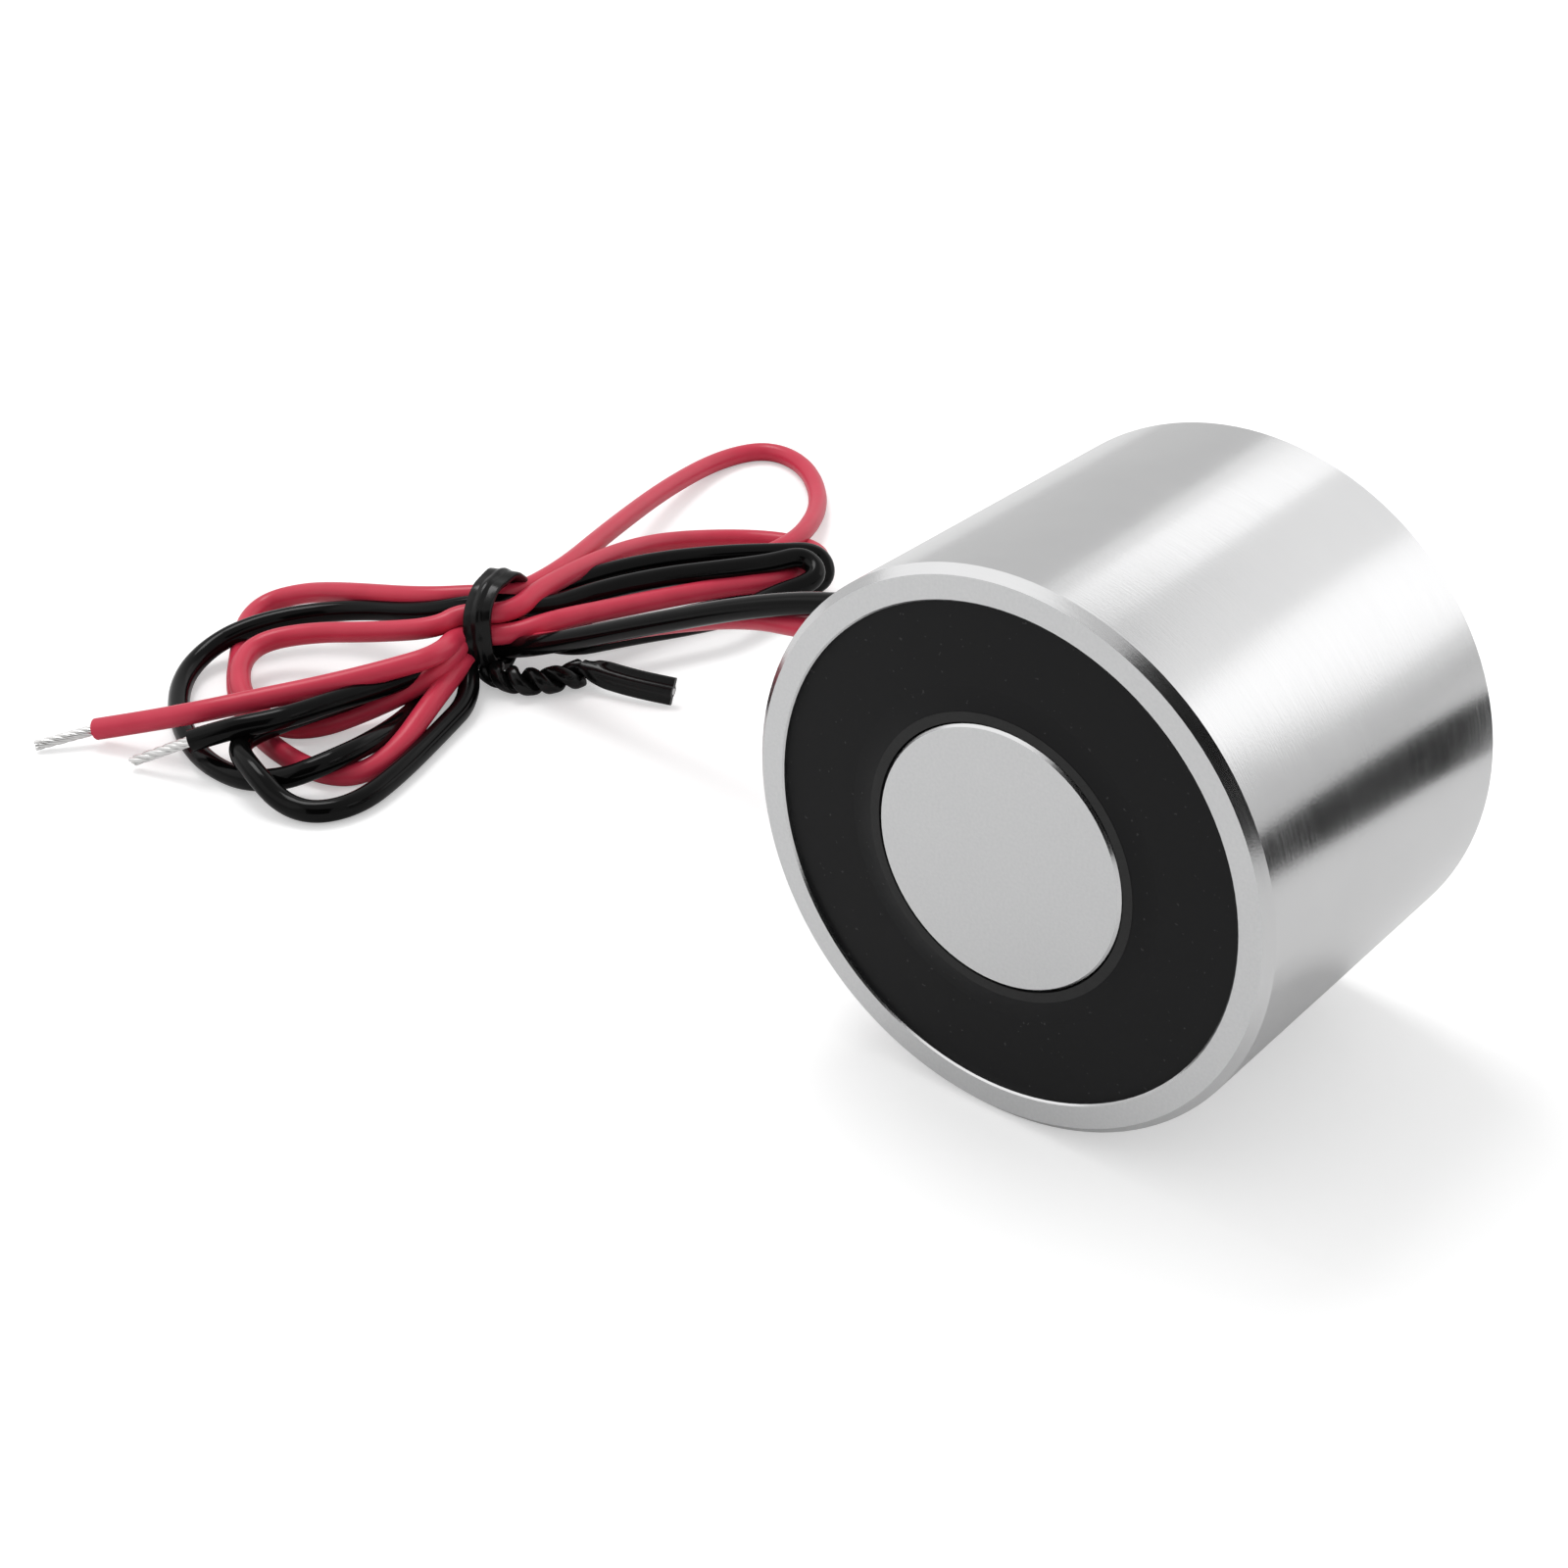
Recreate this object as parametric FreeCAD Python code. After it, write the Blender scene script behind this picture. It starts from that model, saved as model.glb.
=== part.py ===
# Round holding electromagnet, lying on its side as it is laid down with its two leads.
# A turned steel pot with an integral core holds a coil on a bobbin, potted in black resin.
# A red and a black lead leave through a bush in the pot's side and lie folded in a tied hank.
# Millimetres, +Z up. The pot's axis runs along Y, and its working face looks along -Y.
# The origin is on the ground, under the middle of the pot.
import FreeCAD, Part

import math
import os

# Pot and core
body_diameter = 34.0
body_length = 25.0
bore_diameter = 30.0
base_thickness = 4.0
core_diameter = 16.0
face_chamfer = 0.5
rear_chamfer = 0.4
bore_edge_break = 0.1
core_edge_break = 0.15

# Threaded fixing hole in the middle of the rear face, M5, drilled at its core diameter
thread_core_diameter = 4.2
thread_depth = 8.0
thread_mouth_chamfer = 0.4
drill_point_angle = 118.0

# Bobbin
bobbin_core_clearance = 0.1
bobbin_wall = 0.6
bobbin_flange_thickness = 0.8
bobbin_flange_gap = 0.6
bobbin_front_recess = 0.1
front_flange_depth = 2.0

# Winding, its wrap and its tails
winding_flange_inset = 0.8
tape_thickness = 0.15
tail_diameter = 0.4
tail_inset = 0.3
start_tail_lead_in = 3.0
start_tail_drop = 0.4

# Resin
potting_recess = 0.35
meniscus_width = 1.4
meniscus_top_gap = 0.03
meniscus_sag_share = 0.4

# Leads
lead_diameter = 1.6
bare_diameter = 0.8
lead_pitch = 2.0

# Bush in the side of the pot
bush_diameter = 4.8
bush_flange_diameter = 6.2
bush_flange_height = 0.8
bush_rear_gap = 0.2

# Splices in the space behind the bobbin, and the leads' way round to them.
# The bend's places are shares of the radius that the splices lie at.
splice_start = -3.0
splice_length = 5.0
splice_diameter = 1.2
splice_cone_share = 0.3
sleeve_wall = 0.25
sleeve_overlap = 1.8
lead_bend = (-0.83, 0.71)
lead_run_in = -0.55

# Hank of folded leads
hank_lobe_height = 2.8
hank_lobe_rounding = 1.0
hank_waist_diameter = 6.2
waist_rounding = 1.8

# Wired tie round the hank: a flat strap with a ridge over its wire
tie_thickness = 0.4
tie_width = 2.1
tie_ridge_diameter = 0.9
tie_twist_thickness = 1.1
tie_wire_diameter = 0.5
tie_axis_azimuth = 38.0
tie_twist_half_turns = 4
tie_twist_sections_per_half_turn = 4
tail_root_share = 0.93
twist_wire_shares = (0.2, 0.5, 0.8)

# Share of the shorter run that a rounded corner of a cord takes
arc_share = 0.45

# Worked out from the sizes above
body_radius = body_diameter / 2
bore_radius = bore_diameter / 2
core_radius = core_diameter / 2
axis_height = body_radius
face_y = -body_length / 2
rear_y = body_length / 2
base_y = rear_y - base_thickness
bobbin_inner_radius = core_radius + bobbin_core_clearance
bobbin_outer_radius = bobbin_inner_radius + bobbin_wall
flange_radius = bore_radius - bobbin_flange_gap
front_flange_y = face_y + front_flange_depth
bush_y = base_y - bush_rear_gap - bush_diameter / 2
rear_flange_y = bush_y - bush_diameter / 2 - bobbin_flange_thickness
winding_front_y = front_flange_y + bobbin_flange_thickness
winding_outer_radius = flange_radius - winding_flange_inset
tape_outer_radius = winding_outer_radius + tape_thickness
splice_radius = (bobbin_outer_radius + bore_radius) / 2
side_x = -body_radius
tie_inner_radius = hank_waist_diameter / 2
tie_outer_radius = tie_inner_radius + tie_ridge_diameter
tie_wire_radius = tie_inner_radius + tie_ridge_diameter / 2
twist_height = math.hypot(tie_width, tie_twist_thickness) / 2


def at_axis(x, y, rise):
    """A point given by its height above the pot's axis."""
    return FreeCAD.Vector(x, y, axis_height + rise)


def from_side(points):
    """Route points given by their distance from the pot's side, their place along Y and their height."""
    return [FreeCAD.Vector(side_x - out, y, z) for out, y, z in points]


# Routes and outlines of the leads, laid out as they lie. Each point is given by its distance from
# the pot's side, its place along Y and, for a route, its height.

# The black lead from the pot to the tie
black_lead_points = [
    (4.5, 5.9, 17.9),
    (10.3, 6.4, 16.5),
    (17.3, 6.5, 13.5),
    (25.5, 6.6, 9.4),
    (32.5, 6.3, 6.2),
    (37.6, 6.7, 4.1),
    (40.6, 8.0, 3.4),
]

# The red lead from the pot to the tie, passing under the black one
red_lead_points = [
    (4.5, 5.8, 16.0),
    (11.5, 6.6, 14.1),
    (18.3, 8.5, 11.7),
    (25.5, 8.8, 9.2),
    (32.0, 8.9, 7.0),
    (37.0, 9.0, 5.6),
    (40.6, 9.2, 5.0),
]

# The red lead's loose end, from the tie over the left lobe and down to the ground
red_end_points = [
    (45.0, 5.0, 4.6),
    (44.8, 0.0, 3.9),
    (45.7, -6.0, 3.6),
    (48.0, -11.4, 3.7),
    (50.8, -15.0, 3.6),
    (53.6, -17.4, 2.5),
    (56.4, -19.2, 1.2),
]
red_tip_end = (59.2, -22.6, 0.5)

# The black lead's loose end
black_end_points = [
    (43.8, 4.4, 3.8),
    (42.2, 0.2, 3.7),
    (42.2, -5.0, 3.6),
    (43.6, -10.0, 3.7),
    (45.8, -14.4, 3.6),
    (48.4, -17.4, 3.1),
]
black_tip_end = (51.9, -19.7, 0.6)

# Outer line of the two lobes, in order round each, and the openings inside them
right_lobe_outline = [
    (37.8, 11.4), (35.4, 18.0), (31.0, 28.0), (31.4, 36.6), (38.0, 42.4), (44.4, 50.0),
    (51.0, 51.6), (54.6, 46.0), (51.6, 34.5), (46.6, 21.0), (44.2, 12.8), (41.0, 9.3),
]
right_lobe_opening = [
    (44.6, 29.6), (40.8, 33.8), (42.4, 40.0), (46.8, 45.2), (49.4, 42.4), (47.8, 35.2),
]
left_lobe_outline = [
    (43.0, 2.8), (38.4, -2.6), (34.2, -12.8), (36.0, -17.6), (44.0, -18.4), (54.8, -14.8),
    (61.2, -8.0), (62.8, 0.0), (59.4, 5.4), (53.0, 8.4), (47.4, 7.4),
]
left_lobe_opening = [
    (44.2, -3.4), (41.2, -9.8), (43.4, -13.0), (51.0, -10.6), (56.4, -5.0), (57.4, 0.4), (52.6, 3.0),
]

# Middle of the waist. The tie's ends are twisted along a bend from start to end by way of its corner,
# and one end goes on as a flat tail that stands on its edge.
waist_out = 42.6
waist_y = 7.6
waist_length = 9.0
twist_start = (41.3, 5.3)
twist_corner = (37.0, 4.3)
twist_end = (35.8, 9.4)
tail_end = (28.5, 11.6)


def ring_section(points):
    """Solid turned about the pot's axis from radius and Y pairs."""
    corners = [FreeCAD.Vector(radius, y, 0) for radius, y in points]
    face = Part.Face(Part.makePolygon(corners + corners[:1]))
    solid = face.revolve(FreeCAD.Vector(0, 0, 0), FreeCAD.Vector(0, 1, 0), 360)
    solid.translate(FreeCAD.Vector(0, 0, axis_height))
    return solid


def tube_between(start, end, diameter):
    """Round bar from one point to another."""
    return Part.makeCylinder(diameter / 2, (end - start).Length, start, end - start)


def rounded_route(points):
    """Straight runs joined by tangent arcs, each as large as its two runs allow."""
    edges = []
    radii = []
    last = points[0]
    for before, corner, after in zip(points, points[1:], points[2:]):
        half_turn = (corner - before).getAngle(after - corner) / 2
        setback = arc_share * min((corner - before).Length, (after - corner).Length)
        radius = setback / math.tan(half_turn)
        into = (before - corner).normalize()
        away = (after - corner).normalize()
        middle = corner + (into + away).normalize() * (math.hypot(setback, radius) - radius)
        edges.append(Part.LineSegment(last, corner + into * setback).toShape())
        last = corner + away * setback
        edges.append(Part.Arc(corner + into * setback, middle, last).toShape())
        radii.append(radius)
    edges.append(Part.LineSegment(last, points[-1]).toShape())
    return Part.Wire(edges), radii


def cord_tube(name, points, diameter):
    """Round tube along a rounded route. Prints its arc radii and compares its volume."""
    route, radii = rounded_route(points)
    profile = Part.Wire([Part.makeCircle(diameter / 2, points[0], points[1] - points[0])])
    tube = route.makePipeShell([profile], True, False)
    ratio = tube.Volume / (math.pi * diameter ** 2 / 4 * route.Length)
    print(name, "length %.1f, volume ratio %.5f, radii" % (route.Length, ratio), [round(r, 1) for r in radii])
    return tube


def pot():
    """Cup and core turned as one piece, with the threaded hole and the lead hole."""
    thread_core_radius = thread_core_diameter / 2
    mouth_radius = thread_core_radius + thread_mouth_chamfer
    drill_point = thread_core_radius / math.tan(math.radians(drill_point_angle / 2))
    turned = ring_section([
        (0, face_y),
        (core_radius - core_edge_break, face_y),
        (core_radius, face_y + core_edge_break),
        (core_radius, base_y),
        (bore_radius, base_y),
        (bore_radius, face_y + bore_edge_break),
        (bore_radius + bore_edge_break, face_y),
        (body_radius - face_chamfer, face_y),
        (body_radius, face_y + face_chamfer),
        (body_radius, rear_y - rear_chamfer),
        (body_radius - rear_chamfer, rear_y),
        (mouth_radius, rear_y),
        (thread_core_radius, rear_y - thread_mouth_chamfer),
        (thread_core_radius, rear_y - thread_depth),
        (0, rear_y - thread_depth - drill_point),
    ])
    lead_hole = tube_between(at_axis(2 * side_x, bush_y, 0), at_axis(-core_radius, bush_y, 0), bush_diameter)
    return turned.cut(lead_hole)


def bobbin(tails):
    """Coil former: a tube on the core with two flanges, and holes for the coil's tails."""
    former = ring_section([
        (bobbin_inner_radius, face_y + bobbin_front_recess),
        (bobbin_outer_radius, face_y + bobbin_front_recess),
        (bobbin_outer_radius, front_flange_y),
        (flange_radius, front_flange_y),
        (flange_radius, winding_front_y),
        (bobbin_outer_radius, winding_front_y),
        (bobbin_outer_radius, rear_flange_y),
        (flange_radius, rear_flange_y),
        (flange_radius, rear_flange_y + bobbin_flange_thickness),
        (bobbin_outer_radius, rear_flange_y + bobbin_flange_thickness),
        (bobbin_outer_radius, base_y),
        (bobbin_inner_radius, base_y),
    ])
    return former.cut(tails)


def hollow_ring(inner, outer, front, back):
    """Plain ring about the pot's axis."""
    return ring_section([(inner, front), (outer, front), (outer, back), (inner, back)])


def potting(embedded):
    """Resin from the bore's wall to the bobbin, with a meniscus climbing the bobbin's tube."""
    level = face_y + potting_recess
    top = face_y + bobbin_front_recess + meniscus_top_gap
    foot_radius = bobbin_outer_radius + meniscus_width
    start = FreeCAD.Vector(bobbin_outer_radius, top, 0)
    foot = FreeCAD.Vector(foot_radius, level, 0)
    sag_radius = bobbin_outer_radius + meniscus_width * meniscus_sag_share
    sag = FreeCAD.Vector(sag_radius, level - (level - top) * meniscus_sag_share, 0)
    corners = [
        foot,
        FreeCAD.Vector(bore_radius, level, 0),
        FreeCAD.Vector(bore_radius, base_y, 0),
        FreeCAD.Vector(bobbin_outer_radius, base_y, 0),
        start,
    ]
    outline = Part.Wire([Part.Arc(start, sag, foot).toShape()] + Part.makePolygon(corners).Edges)
    body = Part.Face(outline).revolve(FreeCAD.Vector(0, 0, 0), FreeCAD.Vector(0, 1, 0), 360)
    body.translate(FreeCAD.Vector(0, 0, axis_height))
    return body.cut(embedded)


def bush(leads):
    """Bush in the side hole, its flange seated on the round side, bored by the leads."""
    flange_outer = body_radius + bush_flange_height
    outer_end = at_axis(-flange_outer - bush_flange_height, bush_y, 0)
    stem = tube_between(outer_end, at_axis(-core_radius, bush_y, 0), bush_diameter)
    flange = tube_between(outer_end, at_axis(-core_radius, bush_y, 0), bush_flange_diameter)
    outside = hollow_ring(body_radius, flange_outer, face_y, rear_y)
    in_wall = hollow_ring(bore_radius, body_radius, face_y, rear_y)
    return flange.common(outside).fuse(stem.common(in_wall)).removeSplitter().cut(leads)


def lead(name, side, outside):
    """One insulated lead, from its splice behind the bobbin, out through the bush, to the tie."""
    inside = [
        at_axis(splice_start, bush_y, side * splice_radius),
        at_axis(lead_run_in * splice_radius, bush_y, side * splice_radius),
        at_axis(lead_bend[0] * splice_radius, bush_y, side * lead_bend[1] * splice_radius),
        at_axis(-splice_radius, bush_y, side * lead_pitch / 2),
    ]
    return cord_tube(name, inside + outside, lead_diameter)


def splice(side):
    """Soldered joint: swollen in its middle, as thick as the bare strands at its ends."""
    cone = splice_length * splice_cone_share
    corners = [
        (0, 0),
        (0, bare_diameter / 2),
        (cone, splice_diameter / 2),
        (splice_length - cone, splice_diameter / 2),
        (splice_length, bare_diameter / 2),
        (splice_length, 0),
    ]
    points = [FreeCAD.Vector(splice_start + along, radius, 0) for along, radius in corners]
    face = Part.Face(Part.makePolygon(points + points[:1]))
    joint = face.revolve(FreeCAD.Vector(0, 0, 0), FreeCAD.Vector(1, 0, 0), 360)
    joint.translate(at_axis(0, bush_y, side * splice_radius))
    return joint


def sleeve(side, covered):
    """Insulating sleeve over a joint and the end of its lead."""
    start = at_axis(splice_start - sleeve_overlap, bush_y, side * splice_radius)
    end = at_axis(splice_start + splice_length, bush_y, side * splice_radius)
    return tube_between(start, end, lead_diameter + 2 * sleeve_wall).cut(covered)


def finish_tail():
    """Coil wire from the black lead's joint, turned through the flange to the coil's outer turns."""
    radius = winding_outer_radius - tail_inset
    across = math.sqrt(radius ** 2 - splice_radius ** 2)
    points = [
        at_axis(splice_start + splice_length, bush_y, splice_radius),
        at_axis(across, bush_y, splice_radius),
        at_axis(across, rear_flange_y, splice_radius),
    ]
    return cord_tube("winding_finish", points, tail_diameter)


def start_tail():
    """Coil wire from the red lead's joint, up to the core and through the flange to the first turns."""
    radius = bobbin_outer_radius + tail_inset
    across = splice_start + splice_length + start_tail_lead_in
    rise = math.sqrt(radius ** 2 - across ** 2)
    points = [
        at_axis(splice_start + splice_length, bush_y, -splice_radius),
        at_axis(across, bush_y, -splice_radius),
        at_axis(across, bush_y - start_tail_drop, -rise),
        at_axis(across, rear_flange_y, -rise),
    ]
    return cord_tube("winding_start", points, tail_diameter)


def on_ground(place, height=0.0):
    """A point given by its distance from the pot's side and its place along Y."""
    return FreeCAD.Vector(side_x - place[0], place[1], height)


def spline_plate(outline, height):
    """Flat plate on the ground with a smooth closed outline."""
    curve = Part.BSplineCurve()
    curve.interpolate(Points=[on_ground(place) for place in outline], PeriodicFlag=True)
    return Part.Face(Part.Wire([curve.toShape()])).extrude(FreeCAD.Vector(0, 0, height))


def lobe(outline, opening):
    """One lobe of the hank: a flat ring of strands with rounded edges."""
    ring = spline_plate(outline, hank_lobe_height).cut(spline_plate(opening, hank_lobe_height))
    rims = [edge for edge in ring.Edges if len(edge.Vertexes) < 2]
    return ring.makeFillet(hank_lobe_rounding, rims)


def tie_direction():
    """Direction of the strands through the tie."""
    azimuth = math.radians(tie_axis_azimuth)
    return FreeCAD.Vector(math.cos(azimuth), math.sin(azimuth), 0)


def tie_centre():
    """Middle of the tie's ring, which stands on the ground."""
    return on_ground((waist_out, waist_y), tie_outer_radius)


def waist_bar(diameter, length):
    """Round bar through the tie, centred on it."""
    reach = tie_direction() * (length / 2)
    return tube_between(tie_centre() - reach, tie_centre() + reach, diameter)


def lead_hank():
    """Outer shape of the folded leads: two open lobes and the waist that the tie holds."""
    waist = waist_bar(hank_waist_diameter, waist_length)
    ends = [edge for edge in waist.Edges if edge.Closed and len(edge.Vertexes) == 1]
    waist = waist.makeFillet(waist_rounding, ends)
    right = lobe(right_lobe_outline, right_lobe_opening)
    left = lobe(left_lobe_outline, left_lobe_opening)
    return waist.fuse(right).fuse(left)


def twist_line(share):
    """Point on the twisted stretch's bent centre line, and the direction along it."""
    start, corner, end = (on_ground(place, twist_height) for place in (twist_start, twist_corner, twist_end))
    point = start * (1 - share) ** 2 + corner * (2 * share * (1 - share)) + end * share ** 2
    along = (corner - start) * (1 - share) + (end - corner) * share
    return point, along.normalize()


def twist_section(share):
    """Outline of the two straps lying on each other, turned about the centre line."""
    point, along = twist_line(share)
    angle = math.pi * tie_twist_half_turns * share
    upright = FreeCAD.Vector(0, 0, 1)
    wide = upright * math.cos(angle) + upright.cross(along) * math.sin(angle)
    half_wide = wide * (tie_width / 2)
    half_thin = along.cross(wide) * (tie_twist_thickness / 2)
    corners = [
        point + half_wide + half_thin,
        point - half_wide + half_thin,
        point - half_wide - half_thin,
        point + half_wide - half_thin,
    ]
    return Part.makePolygon(corners + corners[:1])


def tie_tail():
    """The flat tail, standing on its edge, with the ridge over its wire."""
    end = on_ground(tail_end, twist_height)
    start = twist_line(tail_root_share)[0]
    run = end - start
    aside = FreeCAD.Vector(0, 0, 1).cross(run).normalize() * (tie_thickness / 2)
    down = FreeCAD.Vector(0, 0, -tie_width / 2)
    corners = [start + aside, start + run + aside, start + run - aside, start - aside]
    face = Part.Face(Part.makePolygon([corner + down for corner in corners + corners[:1]]))
    strip = face.extrude(FreeCAD.Vector(0, 0, tie_width))
    return strip.fuse(tube_between(start, start + run, tie_ridge_diameter))


def twist_tie(wire):
    """Strap round the waist, its ends twisted together, and one flat tail."""
    strap = waist_bar(2 * (tie_inner_radius + tie_thickness), tie_width)
    ridge = Part.makeTorus(tie_wire_radius, tie_ridge_diameter / 2, tie_centre(), tie_direction())
    count = tie_twist_half_turns * tie_twist_sections_per_half_turn
    twisted = Part.makeLoft([twist_section(step / count) for step in range(count + 1)], True, True)
    whole = strap.fuse([ridge, twisted, tie_tail()]).cut(waist_bar(hank_waist_diameter, waist_length))
    return whole.removeSplitter().cut(wire)


def twist_tie_wire():
    """Steel wire in the tie, flush with the tail's cut end."""
    ring = Part.makeTorus(tie_wire_radius, tie_wire_diameter / 2, tie_centre(), tie_direction())
    outward = twist_line(0)[0] - tie_centre()
    outward -= tie_direction() * outward.dot(tie_direction())
    points = [tie_centre() + outward.normalize() * tie_wire_radius]
    points += [twist_line(share)[0] for share in twist_wire_shares]
    points += [on_ground(twist_end, twist_height), on_ground(tail_end, twist_height)]
    return ring.fuse(cord_tube("twist_tie_wire", points, tie_wire_diameter))


def tip(start, end):
    """Stripped and tinned strands at the end of a lead."""
    return tube_between(start, end, bare_diameter)


def build():
    """Every piece by its name."""
    pieces = {
        "red_lead": lead("red_lead", -1, from_side(red_lead_points)),
        "black_lead": lead("black_lead", 1, from_side(black_lead_points)),
        "winding_start": start_tail(),
        "winding_finish": finish_tail(),
        "red_splice": splice(-1),
        "black_splice": splice(1),
        "winding": hollow_ring(bobbin_outer_radius, winding_outer_radius, winding_front_y, rear_flange_y),
        "winding_tape": hollow_ring(winding_outer_radius, tape_outer_radius, winding_front_y, rear_flange_y),
        "pot": pot(),
        "twist_tie_wire": twist_tie_wire(),
        "lead_hank": lead_hank(),
    }
    for colour, side, wire in (("red", -1, "winding_start"), ("black", 1, "winding_finish")):
        covered = [pieces[colour + "_lead"], pieces[colour + "_splice"], pieces[wire]]
        pieces[colour + "_splice_sleeve"] = sleeve(side, covered)
    pieces["bobbin"] = bobbin([pieces["winding_start"], pieces["winding_finish"]])
    pieces["lead_grommet"] = bush([pieces["red_lead"], pieces["black_lead"]])
    inner = ["bobbin", "winding", "winding_tape", "winding_start", "winding_finish", "red_lead", "black_lead",
             "red_splice", "black_splice", "red_splice_sleeve", "black_splice_sleeve"]
    pieces["potting"] = potting([pieces[name] for name in inner])
    pieces["twist_tie"] = twist_tie(pieces["twist_tie_wire"])
    ends = (("red", red_end_points, red_tip_end), ("black", black_end_points, black_tip_end))
    for colour, points, last in ends:
        route = from_side(points)
        end = cord_tube(colour + "_end", route, lead_diameter).cut(pieces["lead_hank"])
        pieces[colour + "_tip"] = tip(route[-1], from_side([last])[0]).cut([end, pieces["lead_hank"]])
        pieces[colour + "_end"] = end
        pieces[colour + "_lead"] = pieces[colour + "_lead"].cut(pieces["lead_hank"])
    return pieces


os.makedirs("parts", exist_ok=True)
for node, shape in build().items():
    shape.exportStep("parts/" + node + ".step")
    print(node, "solids", len(shape.Solids), "valid", shape.isValid(), "volume %.1f" % shape.Volume)
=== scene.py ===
import math

import bpy
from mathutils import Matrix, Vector

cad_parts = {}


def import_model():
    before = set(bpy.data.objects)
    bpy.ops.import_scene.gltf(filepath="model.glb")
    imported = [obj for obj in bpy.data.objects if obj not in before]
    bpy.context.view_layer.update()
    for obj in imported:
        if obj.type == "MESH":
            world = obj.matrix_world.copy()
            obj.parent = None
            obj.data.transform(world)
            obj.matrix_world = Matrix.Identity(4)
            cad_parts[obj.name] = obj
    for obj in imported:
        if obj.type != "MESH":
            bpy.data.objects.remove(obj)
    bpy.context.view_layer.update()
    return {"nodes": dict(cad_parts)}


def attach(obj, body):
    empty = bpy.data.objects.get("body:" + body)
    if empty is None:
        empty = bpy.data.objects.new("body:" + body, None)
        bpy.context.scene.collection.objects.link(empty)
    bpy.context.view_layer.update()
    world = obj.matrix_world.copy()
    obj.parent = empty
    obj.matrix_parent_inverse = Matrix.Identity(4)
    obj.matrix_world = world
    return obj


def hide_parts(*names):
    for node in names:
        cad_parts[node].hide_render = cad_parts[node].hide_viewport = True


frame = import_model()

# Leads
lead_diameter = 0.0016
bare_diameter = 0.0008

# Tie, laid out as the part's own solid is
waist_centre = Vector((-0.0596, 0.0076, 0.0040))
tie_azimuth = math.radians(38)
tie_along = Vector((math.cos(tie_azimuth), math.sin(tie_azimuth), 0))
tie_across = Vector((-math.sin(tie_azimuth), math.cos(tie_azimuth), 0))
up = Vector((0, 0, 1))
strap_width = 0.0021
strap_thickness = 0.0004
ridge_diameter = 0.0009
strap_ring_radius = 0.00345
twist_height = 0.0012
twist_start = Vector((-0.0583, 0.0053, twist_height))
twist_corner = Vector((-0.0540, 0.0043, twist_height))
twist_end = Vector((-0.0528, 0.0094, twist_height))
tail_end = Vector((-0.0455, 0.0116, twist_height))
twist_turns = 2.25
twist_radius = 0.0005
bunched_width = 0.0015
bunched_thickness = 0.0011
tie_wire_diameter = 0.0005

# Places across the strap at which its section is drawn, as shares of its half width
outline_places = (-1, -0.93, -0.78, -0.6, -0.42, -0.33, -0.2, 0, 0.2, 0.33, 0.42, 0.6, 0.78, 0.93, 1)

# Camera
camera_azimuth = math.radians(39.65)
camera_elevation = math.radians(31.01)
camera_place = (0.06448, -0.10832, 0.09093)
camera_lens = 57.72
sensor_width = 36

# Places of the ten strands across the tie: away from the camera, and up from the tie's middle
tie_places = {
    "T1": (-0.00155, 0.00142), "T2": (0, 0.00142), "T3": (0.00155, 0.00142),
    "M1": (-0.0023, 0), "M2": (-0.00077, 0), "M3": (0.00077, 0), "M4": (0.0023, 0),
    "B1": (-0.00155, -0.00142), "B2": (0, -0.00142), "B3": (0.00155, -0.00142),
}


def in_tie(place, along):
    """Point on one strand's line through the tie."""
    across, rise = tie_places[place]
    return waist_centre + tie_along * along + tie_across * across + up * rise


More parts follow.
